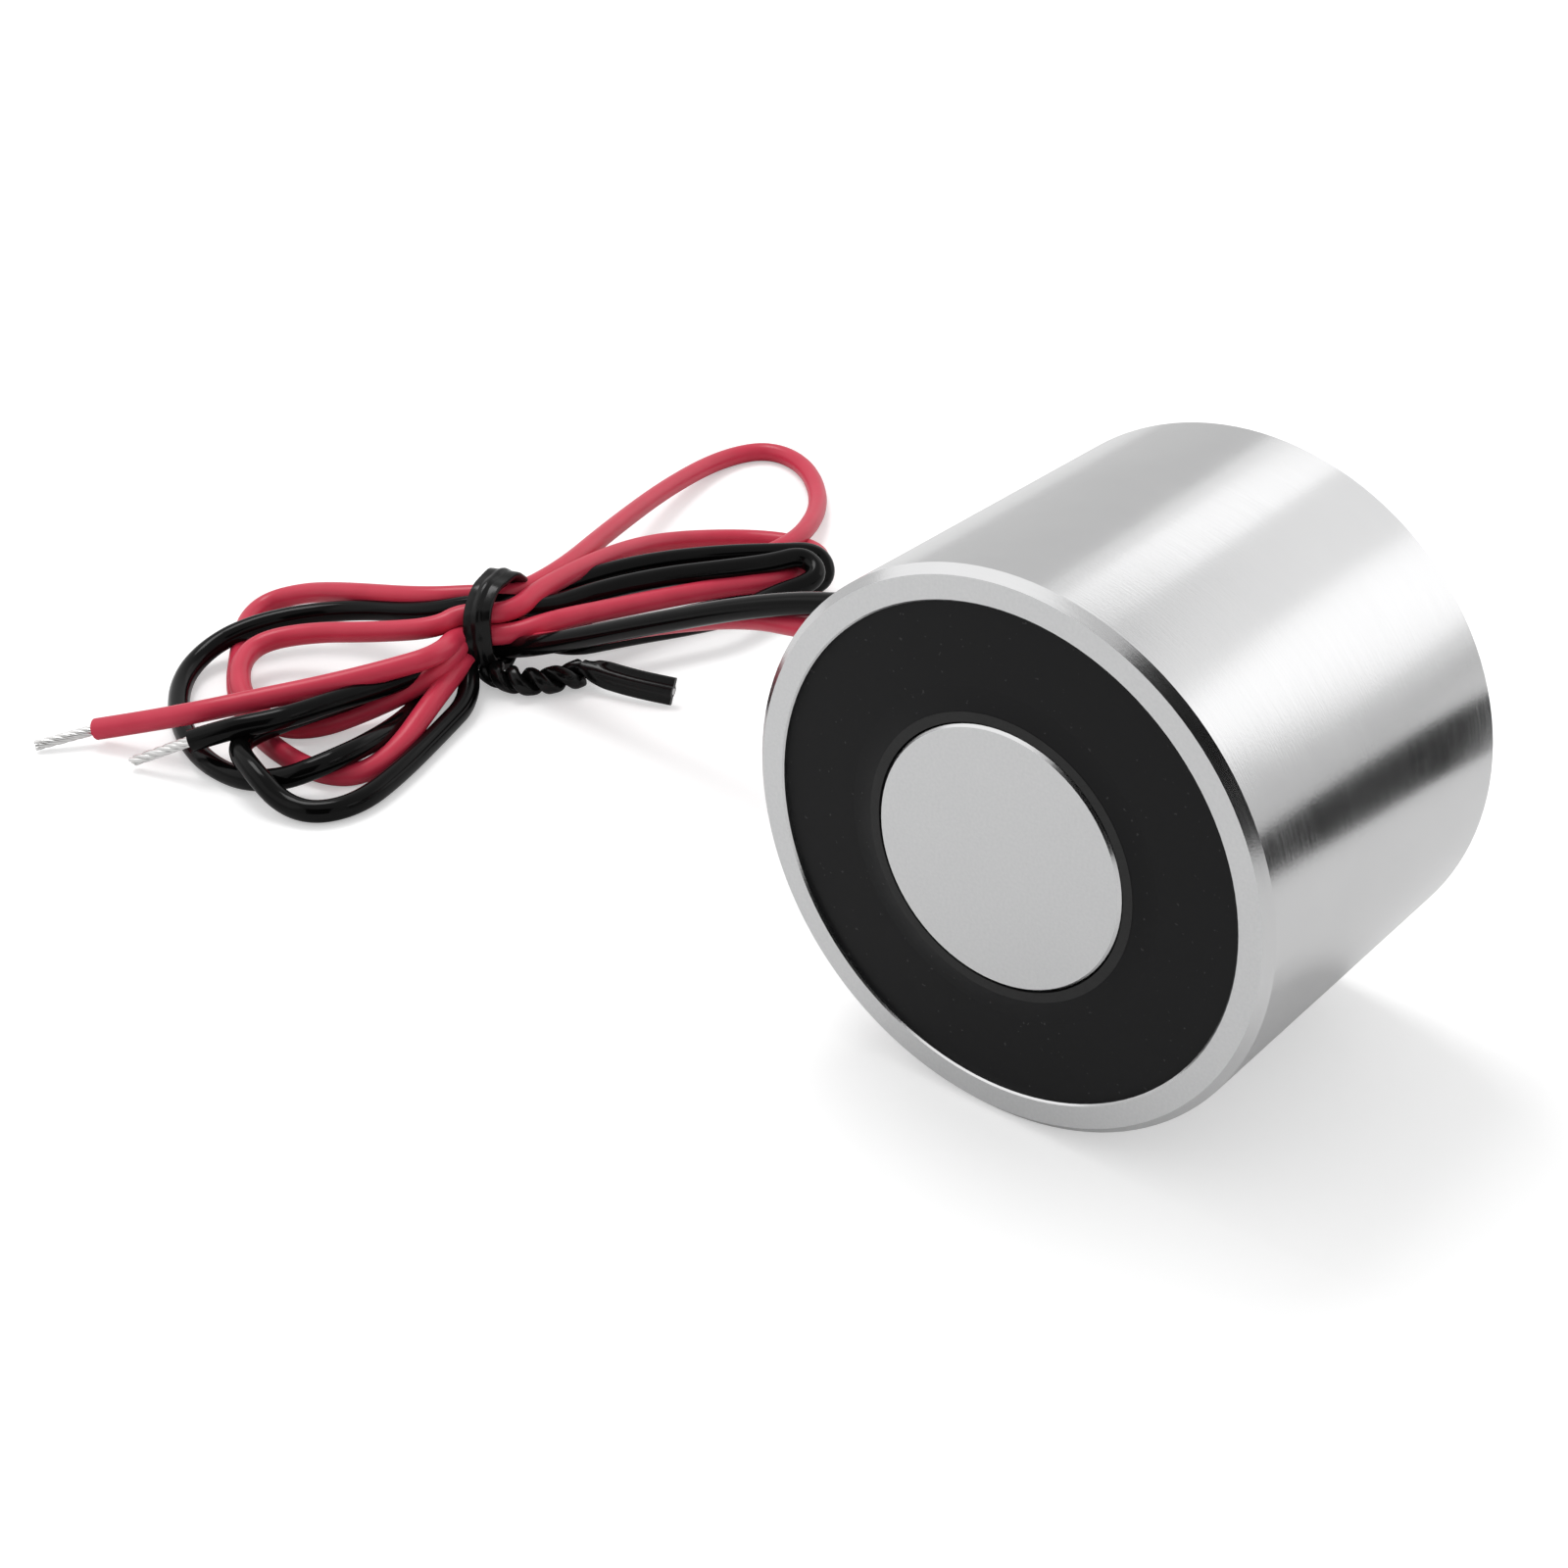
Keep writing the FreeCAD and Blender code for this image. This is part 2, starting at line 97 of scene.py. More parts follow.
# The red lead: from the bush, five times through the tie, to the end of its insulation
red_route = [
    (-0.0165, 0.0059, 0.0160), (-0.0215, 0.0058, 0.0160), (-0.0285, 0.0066, 0.0141),
    (-0.0354, 0.0081, 0.0122), (-0.0436, 0.0078, 0.0090), (-0.0507, 0.0076, 0.0056),
    (-0.0556, 0.0077, 0.0033), in_tie("B2", 0.0013), in_tie("B2", -0.0013), (-0.0579, 0.0010, 0.0025),
    (-0.0563, -0.0027, 0.0023), (-0.0549, -0.0072, 0.0011), (-0.0547, -0.0109, 0.0008),
    (-0.0570, -0.0125, 0.0008), (-0.0612, -0.0125, 0.0008), (-0.0659, -0.0113, 0.0008),
    (-0.0710, -0.0086, 0.0008), (-0.0759, -0.0040, 0.0008), (-0.0792, -0.0006, 0.0009),
    (-0.0799, 0.0022, 0.0012), (-0.0772, 0.0039, 0.0022), (-0.0728, 0.0040, 0.0036),
    (-0.0650, 0.0051, 0.0052), in_tie("T3", -0.0013), in_tie("T3", 0.0013), (-0.0605, 0.0158, 0.0050),
    (-0.0646, 0.0253, 0.0036), (-0.0693, 0.0373, 0.0018), (-0.0713, 0.0467, 0.0008),
    (-0.0693, 0.0511, 0.0008), (-0.0643, 0.0503, 0.0008), (-0.0585, 0.0451, 0.0008),
    (-0.0543, 0.0376, 0.0018), (-0.0538, 0.0326, 0.0020), (-0.0567, 0.0299, 0.0009),
    (-0.0593, 0.0238, 0.0010), (-0.0595, 0.0169, 0.0024), in_tie("M3", 0.0013), in_tie("M3", -0.0013),
    (-0.0580, 0.0002, 0.0034), (-0.0592, -0.0019, 0.0022), (-0.0608, -0.0049, 0.0012),
    (-0.0621, -0.0083, 0.0008), (-0.0643, -0.0103, 0.0009), (-0.0679, -0.0103, 0.0018),
    (-0.0718, -0.0075, 0.0022), (-0.0733, -0.0042, 0.0024), (-0.0705, -0.0013, 0.0030),
    (-0.0652, 0.0006, 0.0040), (-0.0608, 0.0026, 0.0050), in_tie("T1", -0.0024), in_tie("T1", 0.0013),
    (-0.0586, 0.0114, 0.0056), (-0.0607, 0.0201, 0.0042), (-0.0619, 0.0279, 0.0024),
    (-0.0601, 0.0344, 0.0009), (-0.0564, 0.0371, 0.0008), (-0.0529, 0.0376, 0.0008),
    (-0.0507, 0.0355, 0.0010), (-0.0499, 0.0312, 0.0018), (-0.0504, 0.0279, 0.0024),
    (-0.0522, 0.0246, 0.0026), (-0.0539, 0.0197, 0.0030), (-0.0552, 0.0145, 0.0036),
    (-0.0559, 0.0096, 0.0044), in_tie("M1", 0.0013), in_tie("M1", -0.0027), (-0.0577, 0.0000, 0.0049),
    (-0.0593, -0.0037, 0.0046), (-0.0615, -0.0079, 0.0043), (-0.0639, -0.0120, 0.0041),
    (-0.0665, -0.0154, 0.0036), (-0.0700, -0.0172, 0.0024), (-0.0737, -0.0190, 0.0012),
]
red_tip_end = Vector((-0.0762, -0.0226, 0.0005))

# The black lead, likewise
black_route = [
    (-0.0165, 0.0059, 0.0180), (-0.0215, 0.0059, 0.0179), (-0.0273, 0.0064, 0.0165),
    (-0.0343, 0.0065, 0.0138), (-0.0425, 0.0065, 0.0099), (-0.0495, 0.0064, 0.0065),
    (-0.0545, 0.0064, 0.0041), in_tie("B1", 0.0013), in_tie("B1", -0.0024), (-0.0565, 0.0017, 0.0010),
    (-0.0549, -0.0032, 0.0008), (-0.0530, -0.0088, 0.0008), (-0.0520, -0.0133, 0.0008),
    (-0.0532, -0.0163, 0.0008), (-0.0558, -0.0171, 0.0010), (-0.0584, -0.0171, 0.0024),
    (-0.0621, -0.0158, 0.0026), (-0.0627, -0.0128, 0.0025), (-0.0620, -0.0087, 0.0024),
    (-0.0608, -0.0036, 0.0024), (-0.0599, 0.0009, 0.0028), in_tie("M4", -0.0013), in_tie("M4", 0.0013),
    (-0.0600, 0.0141, 0.0040), (-0.0592, 0.0189, 0.0039), (-0.0573, 0.0235, 0.0038),
    (-0.0543, 0.0277, 0.0037), (-0.0512, 0.0309, 0.0036), (-0.0498, 0.0334, 0.0032),
    (-0.0485, 0.0334, 0.0022), (-0.0481, 0.0321, 0.0013), (-0.0501, 0.0296, 0.0009),
    (-0.0524, 0.0242, 0.0008), (-0.0546, 0.0193, 0.0008), (-0.0563, 0.0139, 0.0012),
    in_tie("B3", 0.0013), in_tie("B3", -0.0013), (-0.0599, 0.0015, 0.0009), (-0.0580, -0.0034, 0.0009),
    (-0.0557, -0.0089, 0.0022), (-0.0557, -0.0132, 0.0024), (-0.0577, -0.0156, 0.0014),
    (-0.0611, -0.0168, 0.0008), (-0.0659, -0.0164, 0.0008), (-0.0715, -0.0136, 0.0008),
    (-0.0757, -0.0098, 0.0008), (-0.0770, -0.0062, 0.0014), (-0.0759, -0.0032, 0.0024),
    (-0.0739, 0.0009, 0.0026), (-0.0698, 0.0037, 0.0032), (-0.0642, 0.0044, 0.0044),
    in_tie("T2", -0.0013), in_tie("T2", 0.0013), (-0.0577, 0.0110, 0.0044), (-0.0572, 0.0163, 0.0040),
    (-0.0552, 0.0212, 0.0039), (-0.0524, 0.0255, 0.0038), (-0.0506, 0.0289, 0.0036),
    (-0.0495, 0.0314, 0.0037), (-0.0479, 0.0314, 0.0031), (-0.0472, 0.0300, 0.0026),
    (-0.0487, 0.0268, 0.0022), (-0.0485, 0.0219, 0.0024), (-0.0502, 0.0183, 0.0024),
    (-0.0523, 0.0140, 0.0026), (-0.0546, 0.0094, 0.0026), in_tie("M2", 0.0013), in_tie("M2", -0.0013),
    (-0.0592, 0.0009, 0.0032), (-0.0596, -0.0037, 0.0032), (-0.0599, -0.0080, 0.0038),
    (-0.0604, -0.0126, 0.0041), (-0.0626, -0.0155, 0.0038), (-0.0648, -0.0174, 0.0028),
]
black_tip_end = Vector((-0.0689, -0.0197, 0.0006))


def new_material(name, color, metallic, roughness, specular=0.5):
    """Principled material and its node tree."""
    made = bpy.data.materials.new(name)
    made.use_nodes = True
    tree = made.node_tree
    shader = tree.nodes["Principled BSDF"]
    shader.inputs["Base Color"].default_value = (*color, 1)
    shader.inputs["Metallic"].default_value = metallic
    shader.inputs["Roughness"].default_value = roughness
    shader.inputs["Specular IOR Level"].default_value = specular
    return made, tree, shader


def noise(tree, scale, detail=4.0, stretch=(1, 1, 1)):
    """Noise in the part's own metres, stretched by factors along X, Y and Z."""
    place = tree.nodes.new("ShaderNodeTexCoord")
    mapping = tree.nodes.new("ShaderNodeMapping")
    mapping.inputs["Scale"].default_value = stretch
    texture = tree.nodes.new("ShaderNodeTexNoise")
    texture.inputs["Scale"].default_value = scale
    texture.inputs["Detail"].default_value = detail
    tree.links.new(place.outputs["Object"], mapping.inputs["Vector"])
    tree.links.new(mapping.outputs["Vector"], texture.inputs["Vector"])
    return texture.outputs["Fac"]


def to_range(tree, value, low, high, source=(0, 1)):
    """Value mapped linearly from the source range."""
    node = tree.nodes.new("ShaderNodeMapRange")
    node.inputs["From Min"].default_value = source[0]
    node.inputs["From Max"].default_value = source[1]
    node.inputs["To Min"].default_value = low
    node.inputs["To Max"].default_value = high
    tree.links.new(value, node.inputs["Value"])
    return node.outputs["Result"]


def mix(tree, factor, first, second):
    """Colour mix of two colours or sockets, by the places of the node's colour sockets."""
    first_color = 6
    second_color = 7
    mixed_color = 2
    node = tree.nodes.new("ShaderNodeMix")
    node.data_type = "RGBA"
    tree.links.new(factor, node.inputs["Factor"])
    for place, value in ((first_color, first), (second_color, second)):
        if isinstance(value, tuple):
            node.inputs[place].default_value = (*value, 1)
        else:
            tree.links.new(value, node.inputs[place])
    return node.outputs[mixed_color]


def mix_numbers(tree, factor, first, second):
    """Mix of two number sockets, by the places of the node's number sockets."""
    first_number = 2
    second_number = 3
    mixed_number = 0
    node = tree.nodes.new("ShaderNodeMix")
    tree.links.new(factor, node.inputs["Factor"])
    tree.links.new(first, node.inputs[first_number])
    tree.links.new(second, node.inputs[second_number])
    return node.outputs[mixed_number]


def math_node(tree, operation, first, second):
    """Arithmetic on sockets or numbers."""
    node = tree.nodes.new("ShaderNodeMath")
    node.operation = operation
    for socket, value in zip(node.inputs, (first, second)):
        if isinstance(value, (int, float)):
            socket.default_value = value
        else:
            tree.links.new(value, socket)
    return node.outputs["Value"]


def bump(tree, shader, height, distance, strength=1.0):
    """Bump of the given depth in metres."""
    node = tree.nodes.new("ShaderNodeBump")
    node.inputs["Strength"].default_value = strength
    node.inputs["Distance"].default_value = distance
    tree.links.new(height, node.inputs["Height"])
    tree.links.new(node.outputs["Normal"], shader.inputs["Normal"])


def plated_steel():
    """Bright plating: fine turned lines round the side, a duller ground face."""
    turned_lines = (300, 9000, 300)
    cloud_scale = 260
    grit_scale = 5200
    face_normals = (0.9, 0.97)
    side_finish = (0.15, 0.23)
    side_unevenness = (-0.03, 0.03)
    face_finish = (0.42, 0.5)
    side_shades = ((0.62, 0.62, 0.625), (0.67, 0.67, 0.672))
    face_shades = ((0.63, 0.635, 0.64), (0.73, 0.73, 0.732))
    relief_depth = 0.000004
    made, tree, shader = new_material("plated_steel", (0.64, 0.64, 0.645), 1.0, 0.2)
    geometry = tree.nodes.new("ShaderNodeNewGeometry")
    split_normal = tree.nodes.new("ShaderNodeSeparateXYZ")
    tree.links.new(geometry.outputs["Normal"], split_normal.inputs["Vector"])
    facing = math_node(tree, "ABSOLUTE", split_normal.outputs["Y"], 0)
    flat = to_range(tree, facing, 0, 1, face_normals)
    turned = noise(tree, 1.0, 2.0, stretch=turned_lines)
    cloudy = noise(tree, cloud_scale, 3.0)
    grit = noise(tree, grit_scale, 2.0)
    turned_roughness = to_range(tree, turned, *side_finish)
    uneven_roughness = to_range(tree, cloudy, *side_unevenness)
    side_roughness = math_node(tree, "ADD", turned_roughness, uneven_roughness)
    face_roughness = to_range(tree, cloudy, *face_finish)
    tree.links.new(mix_numbers(tree, flat, side_roughness, face_roughness), shader.inputs["Roughness"])
    side_color = mix(tree, cloudy, *side_shades)
    face_color = mix(tree, grit, *face_shades)
    tree.links.new(mix(tree, flat, side_color, face_color), shader.inputs["Base Color"])
    half_turned = math_node(tree, "MULTIPLY", turned, 0.5)
    half_grit = math_node(tree, "MULTIPLY", grit, 0.5)
    bump(tree, shader, math_node(tree, "ADD", half_turned, half_grit), relief_depth)
    return made


def resin():
    """Cast potting resin: nearly black, satin, with a few dust specks."""
    resin_color = (0.0105, 0.0105, 0.011)
    speck_color = (0.035, 0.035, 0.035)
    speck_threshold = (0.74, 0.78)
    speck_scale = 3400
    mottle_scale = 420
    mottle_depth = 0.00003
    finish = (0.34, 0.48)
    made, tree, shader = new_material("resin", resin_color, 0.0, 0.4, 0.1)
    mottle = noise(tree, mottle_scale)
    specks = to_range(tree, noise(tree, speck_scale, 1.0), 0, 1, speck_threshold)
    tree.links.new(mix(tree, specks, resin_color, speck_color), shader.inputs["Base Color"])
    tree.links.new(to_range(tree, mottle, *finish), shader.inputs["Roughness"])
    bump(tree, shader, mottle, mottle_depth, 0.5)
    return made


def insulation(name, dark, light, roughness, specular):
    """Extruded soft insulation with a faint skin texture."""
    cloud_scale = 420
    smoothest = roughness - 0.03
    roughest = roughness + 0.05
    skin_depth = 0.00001
    made, tree, shader = new_material(name, dark, 0.0, roughness, specular)
    cloudy = noise(tree, cloud_scale, 1.0)
    tree.links.new(mix(tree, cloudy, dark, light), shader.inputs["Base Color"])
    tree.links.new(to_range(tree, cloudy, smoothest, roughest), shader.inputs["Roughness"])
    bump(tree, shader, cloudy, skin_depth, 0.4)
    return made


def moulded(name, color, roughness, grain=2600, depth=0.00001, specular=0.4):
    """Moulded plastic or rubber with a fine grain."""
    lightening = 1.35
    least_lightening = 0.004
    smoothest = roughness - 0.05
    roughest = roughness + 0.08
    made, tree, shader = new_material(name, color, 0.0, roughness, specular)
    grained = noise(tree, grain, 3.0)
    lighter = tuple(min(1.0, c * lightening + least_lightening) for c in color)
    tree.links.new(mix(tree, grained, color, lighter), shader.inputs["Base Color"])
    tree.links.new(to_range(tree, grained, smoothest, roughest), shader.inputs["Roughness"])
    bump(tree, shader, grained, depth)
    return made


def metal(name, color, roughness):
    """Bare or tinned metal with a fine uneven finish."""
    grain_scale = 3000
    grain_depth = 0.000008
    darkening = 0.8
    smoothest = roughness - 0.06
    roughest = roughness + 0.1
    made, tree, shader = new_material(name, color, 1.0, roughness)
    grained = noise(tree, grain_scale, 3.0)
    darker = tuple(c * darkening for c in color)
    tree.links.new(mix(tree, grained, darker, color), shader.inputs["Base Color"])
    tree.links.new(to_range(tree, grained, smoothest, roughest), shader.inputs["Roughness"])
    bump(tree, shader, grained, grain_depth)
    return made


def add_piece(piece, made, slot, *nodes):
    """Material, body and the solids that the piece stands for. The slot argument is not used."""
    piece.data.materials.append(made)
    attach(piece, "root")
    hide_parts(*nodes)


def curve_piece(name, routes, diameter, resolution=16):
    """Round cord or strands along smooth splines."""
    data = bpy.data.curves.new(name, "CURVE")
    data.dimensions = "3D"
    data.resolution_u = resolution
    data.bevel_depth = diameter / 2
    data.bevel_resolution = 8
    data.use_fill_caps = True
    for route in routes:
        spline = data.splines.new("NURBS")
        spline.points.add(len(route) - 1)
        for point, place in zip(spline.points, route):
            point.co = (*place, 1)
        spline.order_u = 3
        spline.use_endpoint_u = True
    made = bpy.data.objects.new(name, data)
    bpy.context.scene.collection.objects.link(made)
    return made


def bare_strands(name, start, end):
    """Seven tinned strands laid in a long twist from the insulation to the cut end."""
    strand_diameter = bare_diameter / 3
    outer_strands = 6
    lay_turns = 1.3
    steps = 14
    hidden_length = 0.001
    tightening = 0.12
    uneven_cut = 0.00025
    closeness = 1.12
    resolution = 6
    run = end - start
    along = run.normalized()
    aside = along.orthogonal().normalized()
    over = along.cross(aside)
    routes = [[start - along * hidden_length, start + run * 0.5, end]]
    for strand in range(outer_strands):
        route = []
        for step in range(steps + 1):
            share = step / steps
            angle = math.tau * (strand / outer_strands + lay_turns * share)
            radius = strand_diameter * (1.0 - tightening * share)
            swing = aside * math.cos(angle) + over * math.sin(angle)
            back = along * (-hidden_length if step == 0 else 0)
            shorter = along * (-uneven_cut * (strand % 3) * share)
            route.append(start + run * share + swing * radius + back + shorter)
        routes.append(route)
    return curve_piece(name, routes, strand_diameter * closeness, resolution)


def strap_outline(fullness):
    """Section of the strap in widths and thicknesses: a ridge over the wire, wings puffed out when folded."""
    half_width = strap_width / 2
    edge_share = 0.5
    upper = []
    for share in outline_places:
        width = share * half_width
        ridge = math.sqrt(max(0.0, (ridge_diameter / 2) ** 2 - width ** 2))
        puff = 1 + fullness * math.sqrt(1 - share ** 2)
        wing = strap_thickness / 2 * (edge_share if abs(share) == 1 else puff)
        upper.append((width, max(wing, ridge)))
    return upper + [(width, -thickness) for width, thickness in reversed(upper)]


def bunched_outline():
    """Section of the strap where it is twisted into a round bunch, point for point with the flat one."""
    edge_share = 0.15
    upper = []
    for share in outline_places:
        turn = math.pi / 2 * share
        thickness = max(edge_share, math.cos(turn)) * bunched_thickness / 2
        upper.append((math.sin(turn) * bunched_width / 2, thickness))
    return upper + [(width, -thickness) for width, thickness in reversed(upper)]


def strap_mesh(name, stations, closed, fullness=0.0):
    """Strap swept along stations: point, width and thickness directions, and how far it is opened out."""
    sharp_angle = math.radians(45)
    flat = strap_outline(fullness)
    bunched = bunched_outline()
    vertices = []
    for point, wide, thick, opened in stations:
        for (flat_w, flat_t), (bunch_w, bunch_t) in zip(flat, bunched):
            width = bunch_w + (flat_w - bunch_w) * opened
            thickness = bunch_t + (flat_t - bunch_t) * opened
            vertices.append(point + wide * width + thick * thickness)
    count = len(flat)
    rings = len(stations)
    faces = []
    for ring in range(rings if closed else rings - 1):
        first = ring * count
        second = (ring + 1) % rings * count
        for corner in range(count):
            following = (corner + 1) % count
            faces.append((first + corner, first + following, second + following, second + corner))
    if not closed:
        faces.append(tuple(reversed(range(count))))
        faces.append(tuple(range((rings - 1) * count, rings * count)))
    data = bpy.data.meshes.new(name)
    data.from_pydata([tuple(v) for v in vertices], [], faces)
    data.update()
    made = bpy.data.objects.new(name, data)
    bpy.context.scene.collection.objects.link(made)
    for polygon in data.polygons:
        polygon.use_smooth = True
    data.set_sharp_from_angle(angle=sharp_angle)
    return made


def ring_point(angle):
    """Point of the ring: skewed along the leads, and lumpy where it lies over them."""
    broad_lump = 0.00007
    small_lump = 0.00005
    slant = 0.0011
    wave = 0.00015
    outward = tie_across * math.cos(angle) + up * math.sin(angle)
    lumps = broad_lump * math.cos(5 * angle + 0.6) + small_lump * math.cos(9 * angle + 2.0)
    skew = slant * math.cos(angle) + wave * math.sin(2 * angle + 0.7)
    return waist_centre + outward * (strap_ring_radius + lumps) + tie_along * skew


def strap_ring():
    """The strap round the leads, folded over itself."""
    steps = 120
    nudge = 0.01
    most_tilt = 0.16
    fullness = 0.5
    stations = []
    for step in range(steps):
        angle = math.tau * step / steps
        outward = tie_across * math.cos(angle) + up * math.sin(angle)
        around = (ring_point(angle + nudge) - ring_point(angle - nudge)).normalized()
        tilt = most_tilt * math.sin(3 * angle + 1.0)
        leaning = tie_along * math.cos(tilt) + outward * math.sin(tilt)
        wide = (leaning - around * leaning.dot(around)).normalized()
        stations.append((ring_point(angle), wide, wide.cross(around).normalized(), 1.0))
    return strap_mesh("tie_ring", stations, True, fullness)


def twist_point(share):
    """Point and direction on the bent line of the twisted ends."""
    point = twist_start * (1 - share) ** 2 + twist_corner * (2 * share * (1 - share)) + twist_end * share ** 2
    along = (twist_corner - twist_start) * (1 - share) + (twist_end - twist_corner) * share
    return point, along.normalized()


def twisted_end(name, side, tail):
    """One bunched strap end of the twisted pair, opening out into the flat tail where one is given."""
    steps = 72
    unevenness = 0.12
    stations = []
    for step in range(steps + 1):
        share = step / steps
        point, along = twist_point(share)
        angle = math.tau * twist_turns * share + (0 if side > 0 else math.pi)
        level = up.cross(along).normalized()
        outward = level * math.cos(angle) + up * math.sin(angle)
        uneven = 1 + unevenness * math.sin(11 * share + 2 * side)
        stations.append((point + outward * (twist_radius * uneven), along.cross(outward), outward, 0.0))
    if tail is not None:
        start, first_wide = stations[-1][:2]
        stations += tail_stations(start, first_wide, tail)
    return strap_mesh(name, stations, False)


def tail_stations(start, first_wide, tail):
    """Stations from the end of the twist, where the strap turns on edge, to the tail's cut end."""
    steps = 36
    opening_share = 0.35
    lean_back = 0.42
    bow = 0.0003
    run = tail - start
    along = run.normalized()
    level = along.cross(up).normalized()
    flat_wide = up * math.cos(lean_back) - level * math.sin(lean_back)
    if first_wide.dot(flat_wide) < 0:
        flat_wide = -flat_wide
    stations = []
    for step in range(1, steps + 1):
        share = step / steps
        opening = min(1.0, share / opening_share)
        opened = opening * opening * (3 - 2 * opening)
        wide = (first_wide * (1 - opened) + flat_wide * opened).normalized()
        wide = (wide - along * wide.dot(along)).normalized()
        aside = level * (bow * math.sin(math.pi * share))
        stations.append((start + run * share + aside, wide, along.cross(wide), opened))
    return stations


def tie_wire_end():
    """The cut end of the steel wire, just proud of the tail's end."""
    shown_length = 0.002
    proud = 0.00003
    run = (tail_end - twist_end).normalized()
    start = tail_end - run * shown_length
    route = [start, start + run * (shown_length / 2), tail_end + run * proud]
    return curve_piece("tie_wire_end", [route], tie_wire_diameter)


def dress_solids():
    """Materials of the solids, outside and inside. Gives back the solder's, which the bare tips share."""
    black_plastic = moulded("bobbin_plastic", (0.014, 0.014, 0.014), 0.42, specular=0.2)
    copper = metal("enamelled_copper", (0.6, 0.25, 0.12), 0.3)
    solder = metal("tinned_copper", (0.86, 0.855, 0.845), 0.36)
    sleeve = moulded("sleeve", (0.03, 0.03, 0.03), 0.5)
    looks = {
        "pot": plated_steel(),
        "potting": resin(),
        "bobbin": black_plastic,
        "winding": copper,
        "winding_start": copper,
        "winding_finish": copper,
        "winding_tape": moulded("polyester_tape", (0.7, 0.55, 0.15), 0.35),
        "red_splice": solder,
        "black_splice": solder,
        "red_splice_sleeve": sleeve,
        "black_splice_sleeve": sleeve,
        "lead_grommet": moulded("bush_rubber", (0.018, 0.018, 0.018), 0.6),
    }
    for node, made in looks.items():
        slots = frame["nodes"][node].data.materials
        slots.clear()
        slots.append(made)
    return solder


def leads(solder):
    """Both leads with their bare tips."""
    red_skin = insulation("red_insulation", (0.50, 0.026, 0.056), (0.60, 0.040, 0.080), 0.33, 0.3)
    black_skin = insulation("black_insulation", (0.0015, 0.0015, 0.0015), (0.003, 0.003, 0.003), 0.13, 0.12)
    red_tip = bare_strands("red_bare_tip", Vector(red_route[-1]), red_tip_end)
    add_piece(red_tip, solder, "tinned_copper", "red_tip")
    black_tip = bare_strands("black_bare_tip", Vector(black_route[-1]), black_tip_end)
    add_piece(black_tip, solder, "tinned_copper", "black_tip")
    red = curve_piece("red_wire", [red_route], lead_diameter)
    add_piece(red, red_skin, "red_insulation", "red_lead", "red_end", "lead_hank")
    black = curve_piece("black_wire", [black_route], lead_diameter)
    add_piece(black, black_skin, "black_insulation", "black_lead", "black_end", "lead_hank")


def tie():
    """Wired tie: ring, two twisted ends, one long tail."""
    plastic = moulded("tie_plastic", (0.002, 0.002, 0.002), 0.19, grain=1800, depth=0.000006, specular=0.2)
    add_piece(strap_ring(), plastic, "tie_plastic", "twist_tie")
    add_piece(twisted_end("tie_twist_with_tail", 1, tail_end), plastic, "tie_plastic", "twist_tie")
    add_piece(twisted_end("tie_twist_short", -1, None), plastic, "tie_plastic", "twist_tie")
    steel = metal("tie_steel", (0.6, 0.6, 0.6), 0.35)
    add_piece(tie_wire_end(), steel, "tie_steel", "twist_tie_wire")


def floor():
    """White floor with the object's shadow, and a glow that the camera sees and metal reflects faintly."""
    reach = 2.0
    near_glow = 0.38
    far_glow = 0.56
    glow_distances = (0.2, 1.2)
    glow_in_metal = 0.04
    data = bpy.data.meshes.new("floor")
    corners = [(-reach, -reach, 0), (reach, -reach, 0), (reach, reach, 0), (-reach, reach, 0)]
    data.from_pydata(corners, [], [(0, 1, 2, 3)])
    made = bpy.data.objects.new("floor", data)
    bpy.context.scene.collection.objects.link(made)
    paint, tree, shader = new_material("floor_white", (0.72, 0.72, 0.72), 0.0, 0.8, 0.1)
    path = tree.nodes.new("ShaderNodeLightPath")
    place = tree.nodes.new("ShaderNodeTexCoord")
    distance = tree.nodes.new("ShaderNodeVectorMath")
    distance.operation = "LENGTH"
    tree.links.new(place.outputs["Object"], distance.inputs[0])
    whiter = to_range(tree, distance.outputs["Value"], near_glow, far_glow, glow_distances)
    to_camera = math_node(tree, "MULTIPLY", path.outputs["Is Camera Ray"], whiter)
    to_metal = math_node(tree, "MULTIPLY", path.outputs["Is Glossy Ray"], glow_in_metal)
    shader.inputs["Emission Color"].default_value = (1, 1, 1, 1)
    tree.links.new(math_node(tree, "ADD", to_camera, to_metal), shader.inputs["Emission Strength"])
    data.materials.append(paint)


def world():
    """White behind the object and soft grey light all round."""
    light_level = 0.72
    backdrop_level = 1.0
    made = bpy.data.worlds.new("studio")
    bpy.context.scene.world = made
    made.use_nodes = True
    tree = made.node_tree
    background = tree.nodes["Background"]
    path = tree.nodes.new("ShaderNodeLightPath")
    level = to_range(tree, path.outputs["Is Camera Ray"], light_level, backdrop_level)
    tree.links.new(level, background.inputs["Strength"])
    background.inputs["Color"].default_value = (1, 1, 1, 1)


def away(azimuth, elevation):
    """Direction from the pot: azimuth from +Y towards +X, and elevation, both in degrees."""
    turn = math.radians(azimuth)
    tilt = math.radians(elevation)
    return Vector((math.sin(turn) * math.cos(tilt), math.cos(turn) * math.cos(tilt), math.sin(tilt)))


def softbox(name, azimuth, elevation, distance, width, height, radiance):
    """Area light facing the pot from a compass direction."""
    aim = Vector((0, 0, 0.02))
    data = bpy.data.lights.new(name, "AREA")
    data.shape = "RECTANGLE"
    data.size = width
    data.size_y = height
    data.energy = radiance * math.pi * width * height
    made = bpy.data.objects.new(name, data)
    bpy.context.scene.collection.objects.link(made)
    direction = away(azimuth, elevation)
    made.location = direction * distance + aim
    made.rotation_euler = (-direction).to_track_quat("-Z", "Y").to_euler()


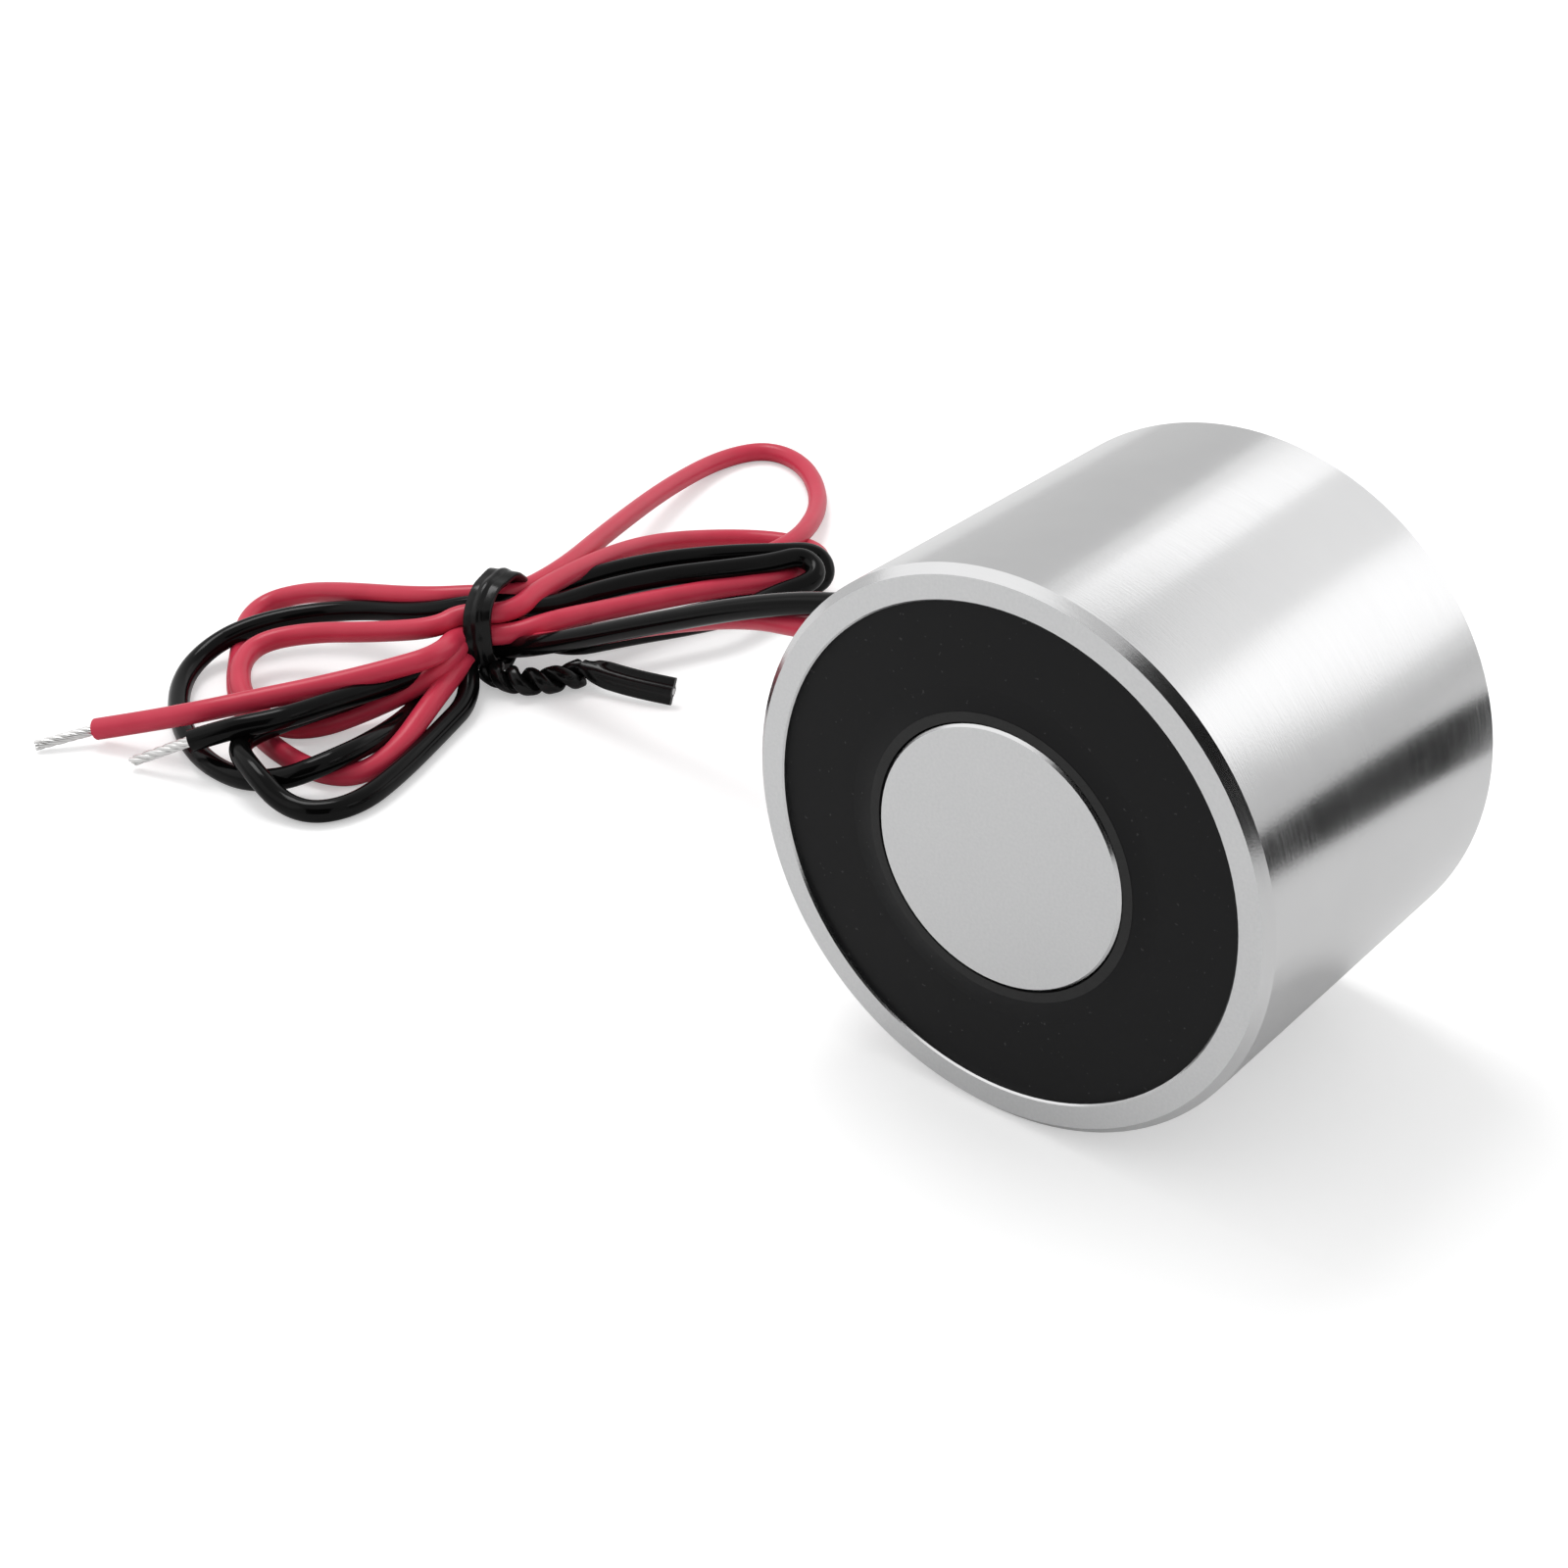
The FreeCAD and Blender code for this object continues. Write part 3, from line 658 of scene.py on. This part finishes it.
def dark_card(name, corners):
    """Black card that only reflections see."""
    data = bpy.data.meshes.new(name)
    data.from_pydata(corners, [], [tuple(range(len(corners)))])
    made = bpy.data.objects.new(name, data)
    bpy.context.scene.collection.objects.link(made)
    paint = new_material(name, (0.01, 0.01, 0.01), 0.0, 0.9, 0.0)[0]
    data.materials.append(paint)
    for ray in ("camera", "diffuse", "shadow", "transmission"):
        setattr(made, "visible_" + ray, False)


def cards():
    """Dark strip beside the pot, and a dark place behind the camera."""
    lower_edge = [(0.037, 0.0494, 0.001), (0.060, 0.0545, 0.0005), (0.165, 0.118, 0.0005)]
    upper_edge = [(0.165, 0.1339, 0.030), (0.037, 0.0494, 0.0135)]
    dark_card("side_strip", lower_edge + upper_edge)
    azimuth = 143
    elevation = 28
    card_distance = 0.6
    half_width = 0.26
    half_height = 0.29
    centre = away(azimuth, elevation) * card_distance
    across = away(azimuth - 90, 0) * half_width
    rise = away(azimuth - 180, 90 - elevation) * half_height
    square = ((-1, -1), (1, -1), (1, 1), (-1, 1))
    dark_card("camera_side", [centre + across * x + rise * y for x, y in square])


def lights():
    """Broad light behind the pot, two small ones before it, one in front on the left, a lamp overhead."""
    softbox("back", azimuth=7, elevation=22, distance=0.9, width=1.0, height=0.62, radiance=0.42)
    softbox("right_back", azimuth=29, elevation=21, distance=0.7, width=0.20, height=0.30, radiance=0.45)
    softbox("left_back", azimuth=-14, elevation=36, distance=0.7, width=0.16, height=0.12, radiance=0.5)
    softbox("front_left", azimuth=-130, elevation=38, distance=0.7, width=0.95, height=0.5, radiance=0.55)
    softbox("overhead", azimuth=-70, elevation=62, distance=0.8, width=0.32, height=0.32, radiance=7.5)


def camera():
    """Camera at the photograph's viewing angle."""
    data = bpy.data.cameras.new("camera")
    data.lens = camera_lens
    data.sensor_width = sensor_width
    made = bpy.data.objects.new("camera", data)
    bpy.context.scene.collection.objects.link(made)
    made.location = camera_place
    made.rotation_euler = (math.pi / 2 - camera_elevation, 0, camera_azimuth)
    bpy.context.scene.camera = made


solder = dress_solids()
leads(solder)
tie()
floor()
world()
cards()
lights()
camera()
bpy.context.scene.view_settings.view_transform = "Standard"
